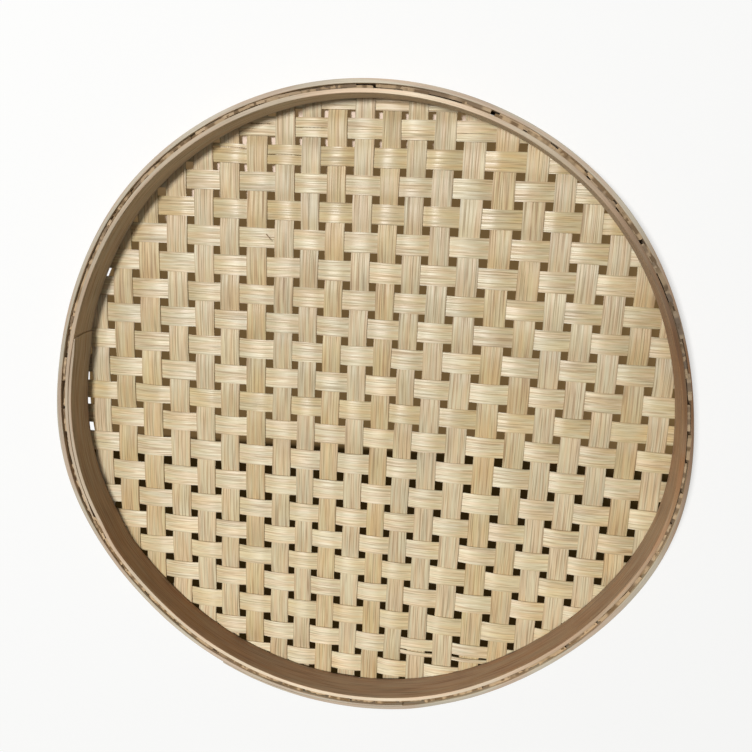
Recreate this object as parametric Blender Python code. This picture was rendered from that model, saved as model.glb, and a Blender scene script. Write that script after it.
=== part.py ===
"""A round, flat bamboo tray of the zaru kind.

Split bamboo is woven one over, one under into an open mat. The mat is cut round,
its ends are turned up between an inner and an outer bamboo hoop, and trimmed just
below the rim. Every splint and both hoops are separate solids. The hoops are bands
bent round and closed by lapping their thinned ends.

Metres, +Z up. The mat is the tray's floor, the rim stands above it, and the tray
rests on the lower edge of the outer hoop. The origin is at the middle of that edge.
"""

import math
from dataclasses import dataclass

import bmesh
import bpy
from mathutils import Matrix, Vector

# Hoops
HOOP_RADIUS = 0.160            # inside face of the inner hoop, away from its lap
INNER_HOOP_THICKNESS = 0.0021
OUTER_HOOP_THICKNESS = 0.0021
WALL_HEIGHT = 0.0183           # from the mat's top to the rim's top
FOOT_HEIGHT = 0.0015           # the outer hoop's lower edge lies this far below the mat
HOOP_STEPS = 96                # straight steps in one full turn

# Laps where the ends of a hoop pass each other
LAP_TIP = 0.0013               # thickness left at a thinned end
INNER_LAP_START = math.radians(205.0)
INNER_LAP_LENGTH = 0.098
OUTER_LAP_START = math.radians(281.0)
OUTER_LAP_LENGTH = 0.098
LAP_STEP_LENGTH = 0.024        # length over which the overlapping end moves aside

# Splints of the mat
SPLINT_WIDTH = 0.0104
SPLINT_THICKNESS = 0.0007
WARP_GAP = 0.0040              # open space between two warp splints
WEFT_GAP = 0.0044              # open space between two weft splints
WARP_CENTRE = -0.0046          # the warp splint nearest the middle, along X
WEFT_CENTRE = 0.0006           # the weft splint nearest the middle, along Y
LEAST_WIDTH = 0.0075           # a narrower splint isn't laid at the hoop
EDGE_INSET = 0.0008            # the outermost splints are split this far inside the hoop
TAIL_TRIM = 0.0008             # the turned-up ends stop this far below the rim
CROSSING_INSET = 0.0015        # a crossing nearer the hoop than this counts as cut by it

# Hand-set spacing: each splint's step from its neighbour, as a share of the even step
RIGHT_STEP_SHARES = (0.94, 0.90, 0.95, 1.03, 1.07, 1.06, 0.99, 0.98, 1.00, 0.99, 0.96)
LEFT_STEP_SHARES = (0.96, 0.93, 0.94, 1.03, 1.03, 0.99, 1.05, 1.12, 1.08, 1.04)
BACK_STEP_SHARES = (0.99, 1.03, 1.01, 0.98, 1.01, 1.01, 0.98, 0.95, 0.92, 0.93, 0.93)
FRONT_STEP_SHARES = (0.99, 1.07, 1.10, 1.03, 1.00, 0.97, 1.00, 1.06, 1.05, 1.01)

# Fits
CLEARANCE = 0.0003             # kept between pieces that touch
FOLD_ARC = math.radians(4.6)   # widest arc of the hoop that one straight fold may span
FOLD_PASSES = 8                # rounds of the search for the fold on the bulged hoop
MERGE_DISTANCE = 0.00001
ROW_SNAP = 0.0002              # a crossing's line this near a corner of the splint uses it

UP = Vector((0.0, 0.0, 1.0))
UPPER_SIDE = "upper_side"      # each corner's direction from the lower to the upper face


@dataclass(frozen=True)
class Bulge:
    """One place where the bent hoops stand out of a true circle."""

    angle: float
    half_width: float
    height: float


HOOP_BULGES = (
    Bulge(math.radians(199.0), math.radians(30.0), 0.0027),
    Bulge(math.radians(345.0), math.radians(22.0), 0.0016),
    Bulge(math.radians(118.0), math.radians(44.0), 0.0004),
    Bulge(math.radians(160.0), math.radians(26.0), -0.0011),
    Bulge(math.radians(308.0), math.radians(26.0), -0.0011),
    Bulge(math.radians(18.0), math.radians(36.0), -0.0010),
)


@dataclass(frozen=True)
class Splint:
    """A splint's edges in the flat mat, measured across its length."""

    low: float
    high: float


# Levels and radii that follow from the sizes above
LAYER_OFFSET = (SPLINT_THICKNESS + CLEARANCE) / 2.0
HALF_MAT = LAYER_OFFSET + SPLINT_THICKNESS / 2.0
MAT_LEVEL = FOOT_HEIGHT + HALF_MAT
INNER_HOOP_BOTTOM = MAT_LEVEL + HALF_MAT + CLEARANCE
RIM_TOP = MAT_LEVEL + HALF_MAT + WALL_HEIGHT
TAIL_TOP = RIM_TOP - TAIL_TRIM
FOLD_RADIUS = HOOP_RADIUS + INNER_HOOP_THICKNESS + CLEARANCE + HALF_MAT
OUTER_HOOP_RADIUS = FOLD_RADIUS + HALF_MAT + CLEARANCE

BAMBOO_COLOURS = {
    "hoop": (0.60, 0.44, 0.25, 1.0),
    "warp": (0.63, 0.50, 0.30, 1.0),
    "weft": (0.72, 0.59, 0.38, 1.0),
}
BAMBOO_ROUGHNESS = 0.55


def out_of_round(angle):
    """Return how far the hoops stand outside a true circle at this angle."""
    total = 0.0
    for bulge in HOOP_BULGES:
        turn = math.remainder(angle - bulge.angle, math.tau)
        if abs(turn) < bulge.half_width:
            total += bulge.height * (1.0 + math.cos(math.pi * turn / bulge.half_width)) / 2.0
    return total


def fold_radius_at(x, y):
    """Return the mat's fold radius in the direction of a point."""
    return FOLD_RADIUS + out_of_round(math.atan2(y, x))


def outline_centre():
    """Return the middle of the outer hoop's outline, which becomes the origin."""
    xs = []
    ys = []
    for vertex in hoop_band(outer_radii, OUTER_LAP_START, OUTER_LAP_LENGTH, OUTER_HOOP_RADIUS):
        xs.append(vertex[0])
        ys.append(vertex[1])
    return (min(xs) + max(xs)) / 2.0, (min(ys) + max(ys)) / 2.0


def lap_thickness(thickness, share):
    """Return a thinned end's thickness, from its tip at share 0 to its root at share 1."""
    tip = min(LAP_TIP, thickness)
    return tip + (thickness - tip) * share


def inner_radii(travel, lap, turn_length):
    """Return the inner hoop's two faces, as distances from its nominal inside face.

    The starting end keeps the outside of the lap, and the closing end passes inside it.
    """
    thickness = INNER_HOOP_THICKNESS
    tip = min(LAP_TIP, thickness)
    if travel < lap:
        return thickness - lap_thickness(thickness, travel / lap), thickness
    past = travel - turn_length
    if past >= 0.0:
        share = min(past / lap, 1.0)
        outside = thickness - lap_thickness(thickness, share) - CLEARANCE
        return outside - lap_thickness(thickness, 1.0 - share), outside
    step = max(0.0, 1.0 + past / LAP_STEP_LENGTH)
    aside = (tip + CLEARANCE) * step
    return -aside, thickness - aside


def outer_radii(travel, lap, turn_length):
    """Return the outer hoop's two faces, as distances from its nominal inside face.

    The starting end keeps the inside of the lap, and the closing end passes outside it.
    """
    thickness = OUTER_HOOP_THICKNESS
    tip = min(LAP_TIP, thickness)
    if travel < lap:
        return 0.0, lap_thickness(thickness, travel / lap)
    past = travel - turn_length
    if past >= 0.0:
        share = min(past / lap, 1.0)
        inside = lap_thickness(thickness, share) + CLEARANCE
        return inside, inside + lap_thickness(thickness, 1.0 - share)
    step = max(0.0, 1.0 + past / LAP_STEP_LENGTH)
    aside = (tip + CLEARANCE) * step
    return aside, thickness + aside


def hoop_band(radii, start, lap, radius):
    """Return the points of a lapped band's plan, inner and outer face in turn."""
    turn_length = math.tau * radius
    step = turn_length / HOOP_STEPS
    lap_steps = max(2, math.ceil(lap / step))
    points = []
    for index in range(HOOP_STEPS + lap_steps + 1):
        travel = index * step
        angle = start - math.tau * index / HOOP_STEPS
        for offset in radii(travel, lap_steps * step, turn_length):
            reach = radius + out_of_round(angle) + offset
            points.append((reach * math.cos(angle), reach * math.sin(angle)))
    return points


def bamboo(name, kind):
    """Return a matt bamboo material of one kind's colour."""
    material = bpy.data.materials.new(name)
    material.use_nodes = True
    shader = material.node_tree.nodes["Principled BSDF"]
    shader.inputs["Base Color"].default_value = BAMBOO_COLOURS[kind]
    shader.inputs["Roughness"].default_value = BAMBOO_ROUGHNESS
    shader.inputs["Metallic"].default_value = 0.0
    return material


def add_object(name, bm, kind, tray):
    """Turn a bmesh into a named object of the tray, with a material of its own."""
    mesh = bpy.data.meshes.new(name)
    bm.to_mesh(mesh)
    bm.free()
    mesh.materials.append(bamboo(name, kind))
    thing = bpy.data.objects.new(name, mesh)
    tray.users_collection[0].objects.link(thing)
    thing.parent = tray
    return thing


def make_hoop(name, radii, start, lap, radius, bottom, tray):
    """Bend a flat band round the tray, with its two ends lapped."""
    plan = hoop_band(radii, start, lap, radius)
    steps = len(plan) // 2 - 1
    bm = bmesh.new()
    bmesh.ops.create_grid(bm, x_segments=steps, y_segments=1, size=1.0)
    for vertex in bm.verts:
        column = round((vertex.co.x + 1.0) / 2.0 * steps)
        face = 1 if vertex.co.y > 0.0 else 0
        vertex.co = (*plan[2 * column + face], bottom)
    band = bmesh.ops.extrude_face_region(bm, geom=bm.faces[:])
    lifted = [item for item in band["geom"] if isinstance(item, bmesh.types.BMVert)]
    bmesh.ops.translate(bm, verts=lifted, vec=(0.0, 0.0, RIM_TOP - bottom))
    bmesh.ops.recalc_face_normals(bm, faces=bm.faces[:])
    return add_object(name, bm, "hoop", tray)


def lay_side(centre, step, shares, sign, tangent):
    """Lay splints outwards from the middle one until the hoop stops them.

    Each splint is as much wider or narrower than the even width as its two steps are.
    The outermost one is split along the hoop.
    """
    splints = []
    place = centre
    before = shares[0]
    index = 0
    while True:
        after = shares[index % len(shares)]
        half = SPLINT_WIDTH * (before + after) / 4.0
        near = abs(place) - half
        far = min(abs(place) + half, tangent - EDGE_INSET)
        if index and (far - near < LEAST_WIDTH or place * sign < 0.0):
            return splints
        if index:
            splints.append(Splint(*sorted((near * sign, far * sign))))
        place += sign * step * after
        before = after
        index += 1


def lay_splints(centre, gap, low_shares, high_shares, low_reach, high_reach):
    """Lay one family of splints across the mat, from its low side to its high side."""
    step = SPLINT_WIDTH + gap
    half = SPLINT_WIDTH * (low_shares[0] + high_shares[0]) / 4.0
    low_side = lay_side(centre, step, low_shares, -1.0, low_reach)
    high_side = lay_side(centre, step, high_shares, 1.0, high_reach)
    return low_side[::-1] + [Splint(centre - half, centre + half)] + high_side


def is_whole(along, across):
    """Say whether the crossing of two splints lies clear inside the fold."""
    for x in (across.low, across.high):
        for y in (along.low, along.high):
            if math.hypot(x, y) > fold_radius_at(x, y) - CROSSING_INSET:
                return False
    return True


def touches_mat(along, across):
    """Say whether any of the crossing of two splints lies inside the fold."""
    x = min(abs(across.low), abs(across.high))
    y = min(abs(along.low), abs(along.high))
    if across.low < 0.0 < across.high:
        x = 0.0
    if along.low < 0.0 < along.high:
        y = 0.0
    side_x = math.copysign(x, across.low + across.high)
    side_y = math.copysign(y, along.low + along.high)
    return math.hypot(x, y) < fold_radius_at(side_x, side_y)


def warp_lies_over(warp_index, weft_index, warp, weft):
    """Say whether the warp is on top here: every other crossing, and at the hoop."""
    if not is_whole(weft, warp):
        return True
    return (warp_index + weft_index) % 2 == 0


def crossings_of_warp(warp_index, warps, wefts):
    """Return (low, high, level) for each weft that one warp splint crosses."""
    warp = warps[warp_index]
    result = []
    for weft_index, weft in enumerate(wefts):
        if touches_mat(weft, warp):
            over = warp_lies_over(warp_index, weft_index, warp, weft)
            result.append((weft.low, weft.high, LAYER_OFFSET if over else -LAYER_OFFSET))
    return sorted(result)


def crossings_of_weft(weft_index, warps, wefts):
    """Return (low, high, level) for each warp that one weft splint crosses.

    A weft is made along Y and then turned by a quarter, so its places are those of -X.
    """
    weft = wefts[weft_index]
    result = []
    for warp_index, warp in enumerate(warps):
        if touches_mat(weft, warp):
            over = warp_lies_over(warp_index, weft_index, warp, weft)
            result.append((-warp.high, -warp.low, -LAYER_OFFSET if over else LAYER_OFFSET))
    return sorted(result)


def level_at(along, crossings):
    """Return the splint's height above the mat's middle at a place along it."""
    place = max(crossings[0][0], min(along, crossings[-1][1]))
    for index, (low, high, level) in enumerate(crossings):
        if place <= high:
            if place >= low:
                return level
            last_high, last_level = crossings[index - 1][1:]
            return last_level + (level - last_level) * (place - last_high) / (low - last_high)
    return crossings[-1][2]


def fold_column(across, end_sign, turn):
    """Return how far along the splint the line at this place across it meets the fold."""
    radius = FOLD_RADIUS
    along = 0.0
    for _ in range(FOLD_PASSES):
        along = math.sqrt(max(radius ** 2 - across ** 2, 0.0)) * end_sign
        point = turn @ Vector((across, along, 0.0))
        radius = fold_radius_at(point.x, point.y)
    return along


def cut_flat_strip(splint, turn):
    """Cut the flat splint: a strip whose two ends follow the fold circle."""
    reach = max(FOLD_RADIUS, abs(splint.low) + EDGE_INSET, abs(splint.high) + EDGE_INSET)
    first = math.asin(splint.low / reach)
    arc = math.asin(splint.high / reach) - first
    bm = bmesh.new()
    bmesh.ops.create_grid(bm, x_segments=math.ceil(arc / FOLD_ARC), y_segments=1, size=1.0)
    for vertex in bm.verts:
        across = reach * math.sin(first + arc * (vertex.co.x + 1.0) / 2.0)
        vertex.co.y = fold_column(across, vertex.co.y, turn)
        vertex.co.x = across
    return bm


def mark_crossings(bm, crossings):
    """Cut a line across the splint at both edges of every splint that it crosses."""
    front = max(vertex.co.y for vertex in bm.verts if vertex.co.y < 0.0)
    back = min(vertex.co.y for vertex in bm.verts if vertex.co.y > 0.0)
    rows = [edge for crossing in crossings for edge in crossing[:2]]
    for row in rows:
        bmesh.ops.bisect_plane(bm, geom=bm.verts[:] + bm.edges[:] + bm.faces[:], dist=ROW_SNAP,
                               plane_co=(0.0, row, 0.0), plane_no=(0.0, 1.0, 0.0))
    full_rows = [row for row in rows if front < row < back]
    lengthwise = []
    for edge in bm.edges:
        a, b = (vertex.co for vertex in edge.verts)
        low = min(a.y, b.y) + ROW_SNAP
        high = max(a.y, b.y) - ROW_SNAP
        is_lengthwise = abs(a.x - b.x) < MERGE_DISTANCE and not edge.is_boundary
        if is_lengthwise and full_rows and low > full_rows[0] and high < full_rows[-1]:
            lengthwise.append(edge)
    bmesh.ops.dissolve_edges(bm, edges=lengthwise, use_verts=True)


def find_fold_edges(bm, splint):
    """Return the edges of the two ends, where the splint meets the fold circle."""
    folds = []
    for edge in bm.edges:
        a, b = (vertex.co for vertex in edge.verts)
        is_side = abs(a.x - b.x) < MERGE_DISTANCE and min(abs(a.x - splint.low),
                                                           abs(a.x - splint.high)) < MERGE_DISTANCE
        if edge.is_boundary and not is_side:
            folds.append(edge)
    return folds


def weave(bm, folds, crossings, turn):
    """Raise and lower the flat splint so that it passes over and under the others."""
    upper_side = bm.verts.layers.float_vector.new(UPPER_SIDE)
    on_fold = {vertex for edge in folds for vertex in edge.verts}
    for vertex in bm.verts:
        level = level_at(vertex.co.y, crossings)
        vertex[upper_side] = UP
        if vertex in on_fold:
            point = turn @ vertex.co
            radius = fold_radius_at(point.x, point.y) - level
            vertex.co *= radius / point.length
            vertex[upper_side] = UP - vertex.co.normalized()
        vertex.co.z = MAT_LEVEL + level


def turn_up_ends(bm, folds):
    """Draw the splint's ends straight up between the hoops."""
    upper_side = bm.verts.layers.float_vector[UPPER_SIDE]
    drawn = bmesh.ops.extrude_edge_only(bm, edges=folds)
    for item in drawn["geom"]:
        if isinstance(item, bmesh.types.BMVert):
            item.co.z = TAIL_TOP
            item[upper_side] = item[upper_side] - UP


def thicken(bm):
    """Give the surface its thickness, half to each side, with mitred folds."""
    upper_side = bm.verts.layers.float_vector[UPPER_SIDE]
    bmesh.ops.recalc_face_normals(bm, faces=bm.faces[:])
    shell = bmesh.ops.extrude_face_region(bm, geom=bm.faces[:])
    upper = {item for item in shell["geom"] if isinstance(item, bmesh.types.BMVert)}
    for vertex in bm.verts:
        side = SPLINT_THICKNESS / 2.0 if vertex in upper else -SPLINT_THICKNESS / 2.0
        vertex.co += vertex[upper_side] * side
    bmesh.ops.recalc_face_normals(bm, faces=bm.faces[:])


def make_splint(name, kind, splint, crossings, turn, tray):
    """Make one splint of the mat, woven, turned up at both ends and thickened."""
    bm = cut_flat_strip(splint, turn)
    mark_crossings(bm, crossings)
    folds = find_fold_edges(bm, splint)
    weave(bm, folds, crossings, turn)
    turn_up_ends(bm, folds)
    thicken(bm)
    thing = add_object(name, bm, kind, tray)
    thing.rotation_euler = turn.to_euler()


def build():
    """Make the tray."""
    for thing in list(bpy.data.objects):
        bpy.data.objects.remove(thing, do_unlink=True)
    collection = bpy.data.collections.new("Bamboo tray")
    bpy.context.scene.collection.children.link(collection)
    tray = bpy.data.objects.new("tray_origin", None)
    collection.objects.link(tray)
    centre_x, centre_y = outline_centre()
    tray.location = (-centre_x, -centre_y, 0.0)

    make_hoop("inner_hoop", inner_radii, INNER_LAP_START, INNER_LAP_LENGTH, HOOP_RADIUS,
              INNER_HOOP_BOTTOM, tray)
    make_hoop("outer_hoop", outer_radii, OUTER_LAP_START, OUTER_LAP_LENGTH, OUTER_HOOP_RADIUS,
              0.0, tray)

    warps = lay_splints(WARP_CENTRE, WARP_GAP, LEFT_STEP_SHARES, RIGHT_STEP_SHARES,
                        fold_radius_at(-1.0, 0.0), fold_radius_at(1.0, 0.0))
    wefts = lay_splints(WEFT_CENTRE, WEFT_GAP, FRONT_STEP_SHARES, BACK_STEP_SHARES,
                        fold_radius_at(0.0, -1.0), fold_radius_at(0.0, 1.0))
    wefts.reverse()
    straight = Matrix.Identity(4)
    for index, warp in enumerate(warps):
        crossings = crossings_of_warp(index, warps, wefts)
        make_splint(f"warp_splint_{index + 1:02d}", "warp", warp, crossings, straight, tray)
    quarter_turn = Matrix.Rotation(math.tau / 4.0, 4, "Z")
    for index, weft in enumerate(wefts):
        crossings = crossings_of_weft(index, warps, wefts)
        make_splint(f"weft_splint_{index + 1:02d}", "weft", weft, crossings, quarter_turn, tray)


build()
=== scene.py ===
"""The looks of a round, flat bamboo tray of the zaru kind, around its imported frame.

Every splint and both hoops are made again here as finer pieces in the same places: split
bamboo that bends over and under its neighbours, folds up between the hoops and ends in
trimmed, frayed tails. Metres, +Z up, and the tray rests on the floor at Z = 0.
"""
import logging
import math
import random
from collections.abc import Iterable
from dataclasses import dataclass, field
from enum import Enum

import bmesh
import bpy
from mathutils import Matrix, Vector


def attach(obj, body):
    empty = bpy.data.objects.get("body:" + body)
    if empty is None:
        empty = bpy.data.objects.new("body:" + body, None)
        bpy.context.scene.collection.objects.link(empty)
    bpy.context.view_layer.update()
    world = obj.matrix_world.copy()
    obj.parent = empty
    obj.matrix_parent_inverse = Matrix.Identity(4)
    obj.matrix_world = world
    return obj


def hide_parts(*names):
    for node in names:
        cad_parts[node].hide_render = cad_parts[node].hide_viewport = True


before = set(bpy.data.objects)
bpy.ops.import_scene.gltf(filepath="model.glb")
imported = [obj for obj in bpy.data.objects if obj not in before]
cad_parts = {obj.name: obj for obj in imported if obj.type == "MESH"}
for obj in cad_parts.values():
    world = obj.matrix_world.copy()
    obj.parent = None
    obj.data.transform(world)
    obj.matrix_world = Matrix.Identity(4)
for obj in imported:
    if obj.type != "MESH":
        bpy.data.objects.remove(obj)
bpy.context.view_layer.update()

LOG = logging.getLogger("bamboo_tray")

MM = 0.001
TOUCH = 0.03 * MM              # places nearer than this are the same
UP = Vector((0.0, 0.0, 1.0))
ROOT = "root"
STRIP_UV = "strip"             # across and along a strip, in metres
# The tone's lightness also carries the mat's painted light and the painted sheen on the hoops'
# tops
STRIP_TONE = "tone"            # lightness, warmth, and the place on the strip
CUT_END = 1.5                  # the place that marks a trimmed end


class Family(Enum):
    """The two families of splints: warps run along Y, wefts along X."""

    WARP = "warp"
    WEFT = "weft"

    @property
    def across(self) -> Vector:
        """The direction across a splint of this family."""
        return Vector((1.0, 0.0, 0.0)) if self is Family.WARP else Vector((0.0, 1.0, 0.0))

    @property
    def along(self) -> Vector:
        """The direction along a splint of this family."""
        return Vector((0.0, 1.0, 0.0)) if self is Family.WARP else Vector((-1.0, 0.0, 0.0))


class Cleft(Enum):
    """From which wood a splint was cleft, with the range of its golden cast."""

    INNER = (0.0, 0.32)
    BROWN = (0.55, 0.90)
    SKIN = (0.05, 0.40)


class LapSide(Enum):
    """On which side of its own start a hoop's closing end passes."""

    INSIDE = "inside"
    OUTSIDE = "outside"


class Zone(Enum):
    """The stretches of a splint, from its trimmed end to the open mat."""

    TAIL = "tail"
    FOLD = "fold"
    END = "end"
    MIDDLE = "middle"


def smooth_step(share: float) -> float:
    """Return a share from 0 to 1, eased at both ends."""
    held = max(0.0, min(1.0, share))
    return held * held * (3.0 - 2.0 * held)


def hex_colour(code: str) -> tuple[float, float, float, float]:
    """Turn an sRGB hex colour into Blender's linear colour.

    Args:
        code: six hex digits, such as "D8C49A".

    Returns:
        Linear red, green, blue and an alpha of 1.
    """
    linear = []
    for start in (0, 2, 4):
        value = int(code[start:start + 2], 16) / 255.0
        linear.append(value / 12.92 if value <= 0.04045 else ((value + 0.055) / 1.055) ** 2.4)
    return (*linear, 1.0)


def fresh_tree(owner: bpy.types.Material | bpy.types.World) -> bpy.types.NodeTree:
    """Switch on the nodes of a material or world.

    Args:
        owner: the new material or world.

    Returns:
        Its node tree, emptied.
    """
    owner.use_nodes = True
    owner.node_tree.nodes.clear()
    return owner.node_tree


def add_node(tree: bpy.types.NodeTree, kind: str, inputs: dict[str | int, object] | None = None,
             **settings: object) -> bpy.types.Node:
    """Add one node with its settings, and fill or link its inputs.

    Args:
        tree: the node tree that gets the node.
        kind: the node's type name.
        inputs: for each input's name or number, a value or another node's output.
        settings: the node's own properties.

    Returns:
        The new node.
    """
    made = tree.nodes.new(kind)
    for name, value in settings.items():
        setattr(made, name, value)
    for socket, value in (inputs or {}).items():
        if isinstance(value, bpy.types.NodeSocket):
            tree.links.new(value, made.inputs[socket])
        else:
            made.inputs[socket].default_value = value
    return made


class Wander:
    """A smooth, seeded unevenness along a length, as in work done by hand."""

    def __init__(self, draw: random.Random, wavelength: float, depth: float,
                 waves: int = 4) -> None:
        """Draw the waves that add up to the unevenness.

        Args:
            draw: the seeded source of the waves.
            wavelength: their middle length, in metres.
            depth: about the greatest reach to either side.
            waves: how many waves are added up.
        """
        self.parts = [(math.tau / wavelength * draw.uniform(0.55, 1.9),
                       draw.uniform(0.0, math.tau),
                       depth * draw.uniform(0.6, 1.0) / math.sqrt(waves))
                      for _ in range(waves)]

    def at(self, place: float) -> float:
        """Return the unevenness at a place."""
        return sum(depth * math.sin(rate * place + phase) for rate, phase, depth in self.parts)


class Lobes:
    """Smooth rises and falls round the tray, of a radius, a thickness or a shade."""

    def __init__(self, *rows: tuple[float, float, float]) -> None:
        """Keep each lobe's middle angle, half width (both in degrees) and height."""
        self.rows = rows

    def at(self, angle: float) -> float:
        """Add the lobes up at one place.

        Args:
            angle: the angle round the tray, in radians.

        Returns:
            The sum of their heights there.
        """
        total = 0.0
        for middle, half_width, height in self.rows:
            turn = math.degrees(math.remainder(angle - math.radians(middle), math.tau))
            if abs(turn) < half_width:
                total += height * (1.0 + math.cos(math.pi * turn / half_width)) / 2.0
        return total


@dataclass(frozen=True)
class TrayPlan:
    """The tray's main sizes, which the solids have too."""

    centre: Vector = Vector((0.000438635, 0.000743151, 0.0))
    hoop_radius: float = 0.160
    hoop_thickness: float = 0.0021
    mat_level: float = 0.00235
    rim_top: float = 0.0215
    tail_top: float = 0.0207
    fold_radius: float = 0.16325
    outer_radius: float = 0.1644
    inner_bottom: float = 0.0035
    layer_offset: float = 0.0005
    bulge: Lobes = Lobes((199, 30, 0.0027), (345, 22, 0.0016), (118, 44, 0.0004),
                         (160, 26, -0.0011), (308, 26, -0.0011), (18, 36, -0.0010))
    reach_rounds: int = 6      # of nearing a circle that bulges
    # Painted light on the mat: its lightness grows from the far side towards the near side
    painted_light_range: tuple[float, float] = (-0.9, 2.3)    # at the far side, and how much it grows
    painted_light_start: float = 0.06                   # the place along Y from which it grows,
    painted_light_span: float = 0.19                    # and over how far, towards the near side

    def reach(self, family: Family, across: float, radius: float, side: float) -> float:
        """Find where a line along a splint meets a circle that bulges as the hoops do.

        Args:
            family: the splint's family.
            across: the line's place across, from the hoops' centre.
            radius: the circle's radius before its bulges.
            side: -1 or 1, the end of the splint.

        Returns:
            The signed distance along the splint.
        """
        held = radius
        distance = 0.0
        for _ in range(self.reach_rounds):
            distance = math.sqrt(max(held ** 2 - across ** 2, 0.0)) * side
            point = family.across * across + family.along * distance
            held = radius + self.bulge.at(math.atan2(point.y, point.x))
        return distance

    def painted_light_at(self, point: Vector) -> float:
        """Return the painted light on the mat at a point: darker at the far side, lighter towards
        the near side.
        """
        least, growth = self.painted_light_range
        return growth * smooth_step((self.painted_light_start - point.y) / self.painted_light_span) + least

    def at(self, angle: float, radius: float, height: float) -> Vector:
        """Return the point of the tray at an angle and a radius, bulges included."""
        far = radius + self.bulge.at(angle)
        return self.centre + Vector((far * math.cos(angle), far * math.sin(angle), height))


PLAN = TrayPlan()


@dataclass(frozen=True)
class BambooFinish:
    """Bamboo wood as it looks after splitting, planing or bending, never painted.

    The fibres run lengthwise as fine, darker lines in a pale straw-coloured ground, and
    the cut surface has a silky sheen that is stretched across them. Real fibre bundles are
    0.2 to 0.3 mm wide, too fine to show, so they are drawn about 0.6 mm wide.
    """

    name: str
    ground: str                # the wood's own colour
    fibre: str                 # the darker fibre lines
    pale: str                  # the soft tissue between them, which shows as short flecks
    cast: str                  # what the golden or brown cast lets through of the colour
    blush: str                 # what the faint pink of some fibres lets through of it
    fibre_amount: float
    fleck_length: float        # metres along
    hue_swing: float           # how far the cast wanders from patch to patch
    roughness: float
    gloss: float = 0.35        # specular level
    anisotropy: float = 0.8
    fibre_width: float = 0.60 * MM
    fibre_length: float = 45 * MM
    pale_amount: float = 0.6
    # On a splint the edge colour darkens its split edges: partly their browner wood, partly
    # painted shade along them. On a hoop it is the pale cut top.
    edge: str = "8A7452"       # split edges, or the top edge of a hoop
    edge_amount: float = 0.35
    edge_start: float = 0.88
    cut: str = "785E3C"        # the dark fibre bundles in a trimmed end
    pith: str = "C8AC86"       # the pith between them
    tone_swing: float = 0.08
    patch_swing: float = 0.16  # how far wide patches are lighter or darker
    relief: float = 0.06 * MM  # height of the fibre lines
    fleck_relief: float = 0.8  # height of the flecks, as a share of that

    def build(self) -> bpy.types.Material:
        """Make the material.

        Returns:
            A procedural material that reads the strip's own UV map and tone.
        """
        material = bpy.data.materials.new(self.name)
        tree = fresh_tree(material)
        strip = add_node(tree, "ShaderNodeUVMap", uv_map=STRIP_UV).outputs["UV"]
        tone = add_node(tree, "ShaderNodeAttribute", attribute_name=STRIP_TONE)
        parts = add_node(tree, "ShaderNodeSeparateXYZ", {0: tone.outputs["Vector"]}).outputs
        noise = self._noises(tree, strip)
        away = add_node(tree, "ShaderNodeMath", {0: parts["Z"]}, operation="ABSOLUTE").outputs[0]
        ranges = {
            # what reads, from and to which values, and what it gives at these two
            "fibre": (noise["fine"], 0.44, 0.70, 0.0, self.fibre_amount),
            "pale": (noise["fleck"], 0.46, 0.66, 0.0, self.pale_amount),
            "edge": (away, self.edge_start, 1.0, 0.0, self.edge_amount),
            "cast": (noise["patch"], 0.36, 0.64, -self.hue_swing, self.hue_swing),
            "blush": (noise["streak"], 0.38, 0.62, 0.0, 1.0),
            "pith": (noise["patch"], 0.42, 0.58, 0.0, 0.75),
            "trimmed": (away, 1.0, 1.4, 0.0, 1.0),
            "rough": (noise["fine"], 0.35, 0.65, self.roughness, self.roughness + 0.20),
        }
        share = {name: add_node(tree, "ShaderNodeMapRange", dict(enumerate(values)),
                                interpolation_type="SMOOTHSTEP").outputs[0]
                 for name, values in ranges.items()}
        share["cast"] = add_node(tree, "ShaderNodeMath", {0: parts["Y"], 1: share["cast"]},
                                 use_clamp=True).outputs[0]
        end = add_node(tree, "ShaderNodeMix", {0: share["pith"], 6: hex_colour(self.cut),
                                               7: hex_colour(self.pith)}, data_type="RGBA")
        colour = hex_colour(self.ground)
        for name, over, blend in (("fibre", hex_colour(self.fibre), "MIX"),
                                  ("pale", hex_colour(self.pale), "MIX"),
                                  ("edge", hex_colour(self.edge), "MIX"),
                                  ("cast", hex_colour(self.cast), "MULTIPLY"),
                                  ("blush", hex_colour(self.blush), "MULTIPLY"),
                                  ("trimmed", end.outputs[2], "MIX")):
            colour = add_node(tree, "ShaderNodeMix", {0: share[name], 6: colour, 7: over},
                              data_type="RGBA", blend_type=blend).outputs[2]
        bright = add_node(tree, "ShaderNodeMath", {0: noise["cloud"], 1: noise["patch"]})
        for value, factor, base in (
                (bright.outputs[0], self.patch_swing, 1.0 - self.patch_swing),
                (parts["X"], self.tone_swing, None)):
            base = bright.outputs[0] if base is None else base
            bright = add_node(tree, "ShaderNodeMath", {0: value, 1: factor, 2: base},
                              operation="MULTIPLY_ADD")
        lit = add_node(tree, "ShaderNodeVectorMath", {0: colour, 3: bright.outputs[0]},
                       operation="SCALE")
        rough = add_node(tree, "ShaderNodeMath", {0: share["rough"], 1: share["trimmed"]},
                         use_clamp=True)
        height = add_node(tree, "ShaderNodeMath", {0: noise["fleck"], 1: self.fleck_relief,
                                                   2: noise["fine"]}, operation="MULTIPLY_ADD")
        bump = add_node(tree, "ShaderNodeBump", {"Strength": 1.0, "Distance": self.relief,
                                                 "Height": height.outputs[0]})
        tangent = add_node(tree, "ShaderNodeTangent", direction_type="UV_MAP", uv_map=STRIP_UV)
        shader = add_node(tree, "ShaderNodeBsdfPrincipled", {
            "Base Color": lit.outputs[0], "Roughness": rough.outputs[0], "IOR": 1.6,
            "Specular IOR Level": self.gloss, "Anisotropic": self.anisotropy,
            "Tangent": tangent.outputs[0], "Normal": bump.outputs[0]})
        add_node(tree, "ShaderNodeOutputMaterial", {"Surface": shader.outputs[0]})
        return material

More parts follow.
